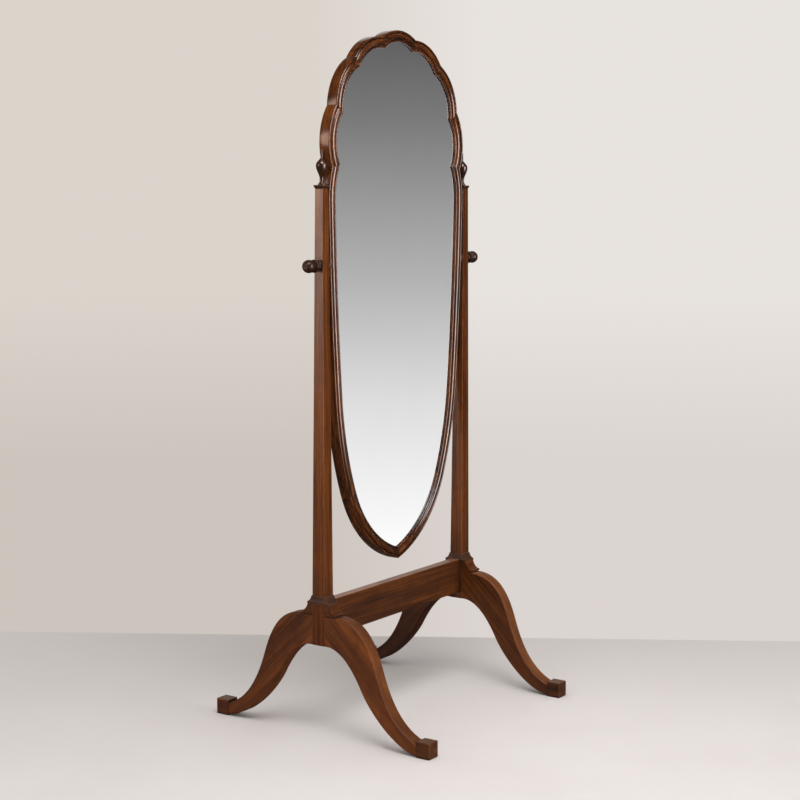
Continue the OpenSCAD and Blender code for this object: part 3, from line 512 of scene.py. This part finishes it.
fit(right_finial, mahogany("right finial mahogany", board=(0.4, 0.1, 0), depth=0.4, dull=0.22,
                            smoke=0.2, worn=0.0), "stand", "dark_mahogany", "right_finial")
fit(left_finial, mahogany("left finial mahogany", board=(0.6, 0.4, 0), depth=0.4, dull=0.22,
                           smoke=0.2, worn=0.0), "stand", "dark_mahogany", "left_finial")

# ---- Mirror frame
# The frame is built up of short curved lengths, each run with the same
# moulding, a broad roll between two beads, then mitred and dowelled together.
pivot = Vector(next(j["pos_m"] for j in frame["joints"] if j["name"] == "mirror_tilt"))
frame_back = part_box("crest_rail")[1].y
moulding_w = 0.026
shoulder_w = 0.0305
ground = 0.0072
glass_face = -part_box("mirror_glass")[0].y
board_face = -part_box("back_board")[0].y
tip = Vector((0, -0.666))
turning = Vector((0.166, -0.5115))
taper = Vector((0.2165, -0.300))
widest = Vector((0.241, 0.137))
waist = Vector((0.2245, 0.218))
cusp_1 = Vector((0.2135, 0.329))
cusp_2 = Vector((0.152, 0.4305))
cusp_3 = Vector((0.0575, 0.4765))
cusp_4 = Vector((-0.0575, 0.4765))
point_r, lower_r, stile_r, shoulder_r, lobe_r = 0.264902, 0.754689, 6.47378, 0.186767, 0.1


def centre_of(p, q, r):
    """The centre of the curve of radius r that runs from p to q, on its left."""
    across = (q - p) / 2
    left = Vector((-across.y, across.x)).normalized()
    return p + across + left * math.sqrt(r * r - across.length_squared)


def corner(c, r, d, s, near):
    """Where a circle round c meets a circle round d, at the meeting nearest a point."""
    apart = (d - c).length
    along = (apart * apart + r * r - s * s) / (2 * apart)
    up = math.sqrt(r * r - along * along)
    u = (d - c) / apart
    foot = c + along * u
    return min((foot + up * n for n in (Vector((-u.y, u.x)), Vector((u.y, -u.x)))),
               key=lambda point: (point - near).length)


def round_off(across, high, r, start, stop, count):
    """Points of a rounded part of the moulding."""
    angles = [math.radians(start + (stop - start) * i / count) for i in range(count + 1)]
    return [(across + r * math.cos(a), high + r * math.sin(a)) for a in angles]


sight_bead_r = 0.0023
roll_r, roll_at, roll_sunk = 0.0073, 0.0133, 0.002
rim_bead_r, rim_raised = 0.0024, 0.0011
back_round = 0.0016
glass_rebate, board_rebate = 0.006, 0.012


def moulding(width):
    """The moulding's section: distance out from the sight edge, and height to the front."""
    side = round_off(sight_bead_r, ground, sight_bead_r, 180, 0, 9)
    side += round_off(roll_at, ground - roll_sunk, roll_r, 164, 16, 20)
    side += round_off(width - rim_bead_r, ground + rim_raised, rim_bead_r, 207, 0, 12)
    side += round_off(width - back_round, back_round - frame_back, back_round, 0, -90, 4)
    side += [(board_rebate, -frame_back), (board_rebate, board_face),
             (glass_rebate, board_face), (glass_rebate, glass_face), (0.0, glass_face)]
    return side


facet = 0.005
mitre_arris = 0.0003


def moulded(name, width, start, runs, mitres):
    """A length of frame: the moulding led along each curve in turn, then mitred."""
    section = moulding(width)
    bpy.ops.mesh.primitive_circle_add(vertices=len(section))
    piece = bpy.context.object
    piece.name = name
    first = centre_of(start, runs[0][1], runs[0][0])
    spoke = (start - first).normalized()
    over = 0.03
    back = over / runs[0][0]
    spoke = Vector((spoke.x * math.cos(back) + spoke.y * math.sin(back),
                    spoke.y * math.cos(back) - spoke.x * math.sin(back)))
    bpy.ops.object.mode_set(mode="EDIT")
    work = bmesh.from_edit_mesh(piece.data)
    for (out, high), vert in zip(section, work.verts):
        place = first + spoke * (runs[0][0] + out)
        vert.co = (place.x, -high, pivot.z + place.y)
    bmesh.update_edit_mesh(piece.data)
    bpy.ops.mesh.select_all(action="SELECT")
    p = start
    for i, (r, q) in enumerate(runs):
        c = centre_of(p, q, r)
        angle = (p - c).angle(q - c) + (back if i == 0 else 0)
        angle += over / r if i == len(runs) - 1 else 0
        bpy.ops.mesh.spin(steps=max(6, round(angle * r / facet)), angle=angle,
                          center=(c.x, 0, pivot.z + c.y), axis=(0, 1, 0))
        p = q
    for inner, outer, keep in mitres:
        along = (outer - inner).normalized()
        face = Vector((-along.y, along.x)) * keep
        bpy.ops.mesh.select_all(action="SELECT")
        bpy.ops.mesh.bisect(plane_co=(inner.x, 0, pivot.z + inner.y),
                            plane_no=(face.x, 0, face.y), use_fill=True, clear_inner=True)
        bpy.ops.mesh.bevel(offset=mitre_arris, segments=1)
    bpy.ops.mesh.select_all(action="SELECT")
    bpy.ops.mesh.normals_make_consistent(inside=False)
    bpy.ops.object.mode_set(mode="OBJECT")
    return piece


point_c = centre_of(tip, turning, point_r)
lower_c = centre_of(turning, taper, lower_r)
shoulder_c = centre_of(widest, waist, shoulder_r)
lobe_c = [centre_of(waist, cusp_1, lobe_r), centre_of(cusp_1, cusp_2, lobe_r),
          centre_of(cusp_2, cusp_3, lobe_r), centre_of(cusp_3, cusp_4, lobe_r)]
lobe_out = lobe_r + moulding_w
tip_out = Vector((0, point_c.y - math.sqrt((point_r + moulding_w) ** 2 - point_c.x ** 2)))
turn_out = turning + (turning - lower_c).normalized() * moulding_w
waist_out = corner(shoulder_c, shoulder_r + moulding_w, lobe_c[0], lobe_r + shoulder_w, waist)
cusp_1_out = corner(lobe_c[0], lobe_r + shoulder_w, lobe_c[1], lobe_out, cusp_1)
cusp_2_out = corner(lobe_c[1], lobe_out, lobe_c[2], lobe_out, cusp_2)
cusp_3_out = corner(lobe_c[2], lobe_out, lobe_c[3], lobe_out, cusp_3)
cusp_4_out = Vector((-cusp_3_out.x, cusp_3_out.y))

right_point = moulded("point_rail_right", moulding_w, tip, [(point_r, turning)],
                      [(tip, tip_out, 1), (turning, turn_out, -1)])
right_stile = moulded("stile_right", moulding_w, turning,
                      [(lower_r, taper), (stile_r, widest), (shoulder_r, waist)],
                      [(turning, turn_out, 1), (waist, waist_out, -1)])
right_shoulder = moulded("shoulder_lobe_right", shoulder_w, waist, [(lobe_r, cusp_1)],
                         [(waist, waist_out, 1), (cusp_1, cusp_1_out, -1)])
right_upper = moulded("upper_lobe_right", moulding_w, cusp_1, [(lobe_r, cusp_2)],
                      [(cusp_1, cusp_1_out, 1), (cusp_2, cusp_2_out, -1)])
right_crown = moulded("crown_lobe_right", moulding_w, cusp_2, [(lobe_r, cusp_3)],
                      [(cusp_2, cusp_2_out, 1), (cusp_3, cusp_3_out, -1)])
crest = moulded("crest_lobe", moulding_w, cusp_3, [(lobe_r, cusp_4)],
                [(cusp_3, cusp_3_out, 1), (cusp_4, cusp_4_out, -1)])
for piece, ending, slant, start in ((right_point, "point_rail", 47, 0.2),
                                    (right_stile, "stile", 4, 0.5),
                                    (right_shoulder, "shoulder_rail", -6, 0.9),
                                    (right_upper, "upper_rail", -31, 1.4),
                                    (right_crown, "crown_rail", -64, 1.9)):
    twin = fellow(piece, piece.name.replace("right", "left"), (-1, 1, 1))
    fit(piece, mahogany("right " + ending.replace("_", " ") + " mahogany",
                        (0, math.radians(-slant), 0), (start, 0, 0), 0.76, 0.18, worn=0.0,
                        wild=1.6), "mirror",
        "mahogany", "right_" + ending)
    fit(twin, mahogany("left " + ending.replace("_", " ") + " mahogany",
                       (0, math.radians(slant), 0), (start, 0.5, 0), 0.76, 0.18, worn=0.0,
                       wild=1.6), "mirror",
        "mahogany", "left_" + ending)
fit(crest, mahogany("crest mahogany", (0, math.radians(90), 0), (0.3, 0.2, 0), 0.76, 0.18,
                    worn=0.0, wild=1.6), "mirror", "mahogany", "crest_rail")

# ---- Glass
# One sheet of plate glass, silvered behind and without a bevel, is cut to the
# frame's outline and laid in its rebate. Fingers have left a faint haze.
glass = bpy.data.materials.new("silvered glass")
glass.use_nodes = True
silver = glass.node_tree.nodes["Principled BSDF"]
silver.inputs["Metallic"].default_value = 1.0
mix = Stain(glass.node_tree)
here = mix.step("TexCoord", out="Object")
haze = mix.grain(here, 9, 6, 3.0, 0.6)
clean = haze.over(tint(242, 242, 242), tint(247, 247, 247))
glass.node_tree.links.new(clean.socket, silver.inputs["Base Color"])
silver.inputs["Roughness"].default_value = 0.0


def refinish(finish, *names):
    """Gives a piece that is already the right shape its finish."""
    for name in names:
        piece = frame["nodes"][name]
        piece.data.materials.clear()
        piece.data.materials.append(finish)


refinish(glass, "mirror_glass")

# ---- Back board, blocks and dowels
# Unpolished softwood: a thin board closes the back of the frame, small blocks
# wedge the glass, and dowels lock the joints. The board has yellowed with age.


def softwood(name):
    """Bare pine with its year rings, fine fibre and patches of stain."""
    finish = bpy.data.materials.new(name)
    finish.use_nodes = True
    wood = finish.node_tree.nodes["Principled BSDF"]
    mix = Stain(finish.node_tree)
    here = mix.step("TexCoord", out="Object")
    rings = mix.grain(here, 34, 1.2, 2.0, 0.5, 1.2)
    fibre = mix.grain(here, 500, 14, 2.0, 0.6)
    stain = mix.grain(here, 7, 5, 4.0, 0.6)
    colour = mix.step("ValToRGB", {"Fac": rings * 0.7 + fibre * 0.3},
                      stops=[(0.35, tint(120, 84, 50)), (0.5, tint(158, 116, 74)),
                             (0.65, tint(180, 140, 95))])
    colour = (stain.between(0.5, 0.72) * 0.5).over(colour, tint(96, 66, 42))
    finish.node_tree.links.new(colour.socket, wood.inputs["Base Color"])
    rough = 0.62 + fibre * 0.2
    finish.node_tree.links.new(rough.socket, wood.inputs["Roughness"])
    relief = mix.step("Bump", {"Strength": 0.25, "Distance": 0.0004, "Height": fibre})
    finish.node_tree.links.new(relief.socket, wood.inputs["Normal"])
    return finish


refinish(softwood("back board pine"), "back_board")
refinish(softwood("block and dowel pine"), "glass_blocks", "frame_dowels", "leg_dowels")

# ---- Pivots
# A brass plate let into each stile is bored and tapped for the steel clamp
# bolt. A leather washer grips between plate and post, a brass one outside it.


def metal(name, bright, dull, low, high):
    """Metal with a handled surface: bright where it is rubbed and duller elsewhere."""
    finish = bpy.data.materials.new(name)
    finish.use_nodes = True
    shell = finish.node_tree.nodes["Principled BSDF"]
    shell.inputs["Metallic"].default_value = 1.0
    mix = Stain(finish.node_tree)
    here = mix.step("TexCoord", out="Object")
    bloom = mix.grain(here, 160, 160, 4.0, 0.6).between(0.35, 0.7)
    colour = bloom.over(bright, dull)
    finish.node_tree.links.new(colour.socket, shell.inputs["Base Color"])
    rough = bloom * (high - low) + low
    finish.node_tree.links.new(rough.socket, shell.inputs["Roughness"])
    return finish


brass = metal("old brass", tint(190, 150, 84), tint(112, 82, 44), 0.28, 0.5)
steel = metal("bright steel", tint(176, 178, 180), tint(120, 120, 120), 0.25, 0.45)
refinish(brass, "left_pivot_plate", "right_pivot_plate", "pivot_plate_screws",
         "back_board_screws", "left_knob_washer", "right_knob_washer")
refinish(steel, "left_pivot_bolt", "right_pivot_bolt")

leather = bpy.data.materials.new("washer leather")
leather.use_nodes = True
hide = leather.node_tree.nodes["Principled BSDF"]
mix = Stain(leather.node_tree)
here = mix.step("TexCoord", out="Object")
pebble = mix.step("TexVoronoi", {"Vector": here, "Scale": 900.0}, out="Distance")
mottle = mix.grain(here, 120, 120, 3.0, 0.6)
colour = mottle.over(tint(74, 44, 28), tint(118, 78, 50))
leather.node_tree.links.new(colour.socket, hide.inputs["Base Color"])
relief = mix.step("Bump", {"Strength": 0.4, "Distance": 0.0003, "Height": pebble})
leather.node_tree.links.new(relief.socket, hide.inputs["Normal"])
hide.inputs["Roughness"].default_value = 0.7
refinish(leather, "left_friction_washer", "right_friction_washer")

# ---- Knobs
# Turned hardwood knobs on the clamp bolts: a flared base, a ring, and a ball
# with a small flat button on its end. They are the darkest pieces of all.
knob_low, knob_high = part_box("right_knob")
knob_l = knob_high.x - knob_low.x
ball_r = knob_high.z - pivot.z
ball_at = 0.0332
ring_r, ring_at, ring_t = 0.0142, 0.015, 0.009
groove_r, button_r, base_r, knob_neck = 0.011, 0.008, 0.0115, 0.008
ring_in, ring_out = ring_at - ring_t / 2, ring_at + ring_t / 2
knob_side = [Vector((base_r - 0.0003, 0)), Vector((base_r, 0.0004)),
             Vector((base_r, 0.0026)), Vector((base_r - 0.0003, 0.003))]
knob_side += sweep(Vector((base_r - 0.0003, 0.003)), Vector((knob_neck, 0.004)),
                   Vector((knob_neck, ring_in - 0.002)),
                   Vector((knob_neck + 0.0015, ring_in)), 8)
knob_side += sweep(Vector((knob_neck + 0.0015, ring_in)), Vector((ring_r, ring_in)),
                   Vector((ring_r, ring_at - 0.002)), Vector((ring_r, ring_at)), 8)
knob_side += sweep(Vector((ring_r, ring_at)), Vector((ring_r, ring_at + 0.002)),
                   Vector((ring_r, ring_out)), Vector((groove_r, ring_out)), 8)
joined = math.pi - math.asin(groove_r / ball_r)
opened = math.asin(button_r / ball_r)
for i in range(19):
    a = joined + (opened - joined) * i / 18
    knob_side.append(Vector((ball_r * math.sin(a), ball_at + ball_r * math.cos(a))))
knob_side += [Vector((button_r - 0.0009, knob_l - 0.0008)),
              Vector((button_r - 0.0016, knob_l - 0.0001)),
              Vector((button_r - 0.0022, knob_l)), Vector((0.0002, knob_l - 0.0003))]
right_knob = grown("knob_right", 56, Vector((knob_low.x, 0, pivot.z)),
                   [(p.x, p.x, p.y) for p in knob_side], turn=(0, math.radians(90), 0))
left_knob = fellow(right_knob, "knob_left", (-1, 1, 1))
fit(right_knob, mahogany("right knob mahogany", across_lie, (0.3, 0, 0), 0.22, 0.3, 0.25,
                         worn=0.0), "right_knob",
    "dark_mahogany", "right_knob")
fit(left_knob, mahogany("left knob mahogany", across_lie, (0.7, 0, 0), 0.22, 0.3, 0.25,
                        worn=0.0), "left_knob",
    "dark_mahogany", "left_knob")

# ---- Studio
# A pale floor painted paler towards the front, a pale wall shown beyond it with painted light,
# paler to the right and darker low down, broad soft lamps, and an even room that the glass and
# the polish can show.
bpy.ops.mesh.primitive_plane_add(size=80, location=(0, 0, 0))
floor = bpy.context.object
floor.name = "studio_floor"
wall_side = Vector((0.84333, 0.537396, 0))
wall_reach = 0.62422
eye = Vector((-3.303655, -2.297054, 1.218771))
to_right = (0.568507, -0.822678, 0)


def wall_with_painted_light(mix, toward):
    """The wall's colour with painted light: paler to the right and a little darker low down."""
    right = mix.step("VectorMath", {0: toward, 1: to_right}, out="Value",
                     operation="DOT_PRODUCT").between(-0.05, 0.045)
    height = mix.step("SeparateXYZ", {0: toward}, out="Z")
    low = 1.0 - height.between(-0.155, -0.06)
    tone = right.over(tint(219, 212, 204), tint(232, 227, 223))
    return low.over(tone, right.over(tint(205, 196, 189), tint(219, 212, 208)))


ground_finish = bpy.data.materials.new("studio floor")
ground_finish.use_nodes = True
ground_tree = ground_finish.node_tree
mix = Stain(ground_tree)
here = mix.step("TexCoord", out="Object")
away = mix.step("VectorMath", {0: here}, out="Value", operation="LENGTH").between(0.9, 1.9)
reach = mix.step("VectorMath", {0: here, 1: wall_side}, out="Value",
                 operation="DOT_PRODUCT")
past_wall = reach.between(wall_reach - 0.003, wall_reach + 0.003)
toward = mix.step("VectorMath", {0: here, 1: eye}, operation="SUBTRACT")
toward = mix.step("VectorMath", {0: toward}, operation="NORMALIZE")
clouds = mix.grain(here, 2.4, 2.4, 5.0, 0.6)
# Painted light: the floor is paler towards the front and darker towards the wall line; the clouds
# are its own mottling
near = 1.0 - reach.between(-1.0, 0.6)
floor_with_painted_light = near.over(tint(209, 203, 200), tint(231, 225, 222))
floor_with_painted_light = (clouds.between(0.35, 0.65) * 0.25).over(floor_with_painted_light, tint(206, 198, 194))
lit = mix.step("BsdfDiffuse", {"Color": floor_with_painted_light})
shown = past_wall.over(floor_with_painted_light, wall_with_painted_light(mix, toward))
plain = mix.step("Emission", {"Color": shown, "Strength": 1.0})
seen = mix.step("LightPath", out="Is Camera Ray")
spread = away.maths("MAXIMUM", away, past_wall)
surface = mix.step("MixShader", {0: seen * spread, 1: lit, 2: plain})
ground_tree.links.new(surface.socket, ground_tree.nodes["Material Output"].inputs["Surface"])
floor.data.materials.append(ground_finish)
floor.visible_glossy = False

world = bpy.data.worlds.new("studio room")
bpy.context.scene.world = world
world.use_nodes = True
mix = Stain(world.node_tree)
toward = mix.step("TexCoord", out="Generated")
north = mix.step("SeparateXYZ", {0: toward}, out="Y")
height = mix.step("SeparateXYZ", {0: toward}, out="Z")


def grey(level):
    return tint(level, level, level)


def pane(bearing, rise, wide, high):
    """A soft-edged oval lamp as the polish shows it: where it stands and its half sizes,
    all in degrees."""
    b, r = math.radians(bearing), math.radians(rise)
    aim = Vector((math.sin(b) * math.cos(r), math.cos(b) * math.cos(r), math.sin(r)))
    side = Vector((math.cos(b), -math.sin(b), 0)) / math.sin(math.radians(wide))
    rising = aim.cross(side).normalized() / math.sin(math.radians(high))
    ahead, out, up = (mix.step("VectorMath", {0: toward, 1: way}, out="Value",
                               operation="DOT_PRODUCT") for way in (aim, side, rising))
    return (1.0 - (out * out + up * up)).between(0.0, 0.45) * ahead.between(0.0, 0.1)


room = mix.step("ValToRGB", {"Fac": height.between(-0.25, 0.15)},
                stops=[(0.0, grey(253)), (0.11, grey(251)), (0.264, grey(228)),
                       (0.32, grey(219)), (0.407, grey(198)), (0.49, grey(177)),
                       (0.625, grey(146)), (0.717, grey(121)), (0.826, grey(96)),
                       (1.0, grey(84))])
near_wall = north.between(-0.1, 0.35)
room = near_wall.over(room, tint(216, 210, 206))
wall = mix.step("Background", {"Color": wall_with_painted_light(mix, toward), "Strength": 1.0})
in_glass = mix.step("Background", {"Color": room, "Strength": 1.12})
polish = pane(50, 22, 26, 15) * 0.8 + 0.05
polish = polish + pane(174, 5, 17, 28) * 14.0
polish = polish + pane(-138, 59, 22, 18) * 13.0
side_wall = pane(-60, 7, 20, 12)
polish = polish + side_wall * 6.5
in_polish = mix.step("Background", {"Strength": polish, "Color": side_wall.over(
    (1.0, 1.0, 1.0, 1.0), (1.0, 0.69, 0.55, 1.0))})
soft = mix.step("Background", {"Color": (0.58, 0.575, 0.57, 1.0), "Strength": 1.0})
path = mix.step("LightPath", out="Is Camera Ray")
sharp = mix.step("LightPath", out="Is Singular Ray")
glossy = mix.step("LightPath", out="Is Glossy Ray")
through = mix.step("LightPath", out="Is Transmission Ray")
by_mirror = sharp.maths("MAXIMUM", sharp * glossy, through)
base = mix.step("MixShader", {0: glossy, 1: soft, 2: in_polish})
base = mix.step("MixShader", {0: by_mirror, 1: base, 2: in_glass})
sky = mix.step("MixShader", {0: path, 1: base, 2: wall})
world.node_tree.links.new(sky.socket, world.node_tree.nodes["World Output"].inputs["Surface"])


def lamp(name, place, aim, size, power):
    bpy.ops.object.light_add(type="AREA", location=place)
    light = bpy.context.object
    light.name = name
    light.data.shape = "SQUARE"
    light.data.size = size
    light.data.energy = power
    light.rotation_mode = "QUATERNION"
    light.rotation_quaternion = (Vector(aim) - Vector(place)).to_track_quat("-Z", "Y")
    light.visible_glossy = False


lamp("ceiling lamp", (-1.2, -1.1, 3.4), (0, 0, 0.4), 1.8, 60)
lamp("window lamp", (0.3, -4.2, 1.6), (0, 0, 0.8), 1.8, 45)

# ---- Camera
# It stands in front of the mirror and to its left, a little above the knobs,
# and looks slightly down.
eye_turn, eye_fall, eye_roll = -55.3413, 6.9891, 0.1693
bpy.ops.object.camera_add()
camera = bpy.context.object
camera.name = "camera"
camera.data.sensor_width = 36
camera.data.lens = 78.6722
camera.data.clip_end = 200
camera.matrix_world = (Matrix.Translation(eye)
                       @ Matrix.Rotation(math.radians(eye_turn), 4, "Z")
                       @ Matrix.Rotation(math.radians(90 - eye_fall), 4, "X")
                       @ Matrix.Rotation(math.radians(eye_roll), 4, "Z"))
bpy.context.scene.camera = camera
bpy.context.scene.view_settings.view_transform = "Standard"
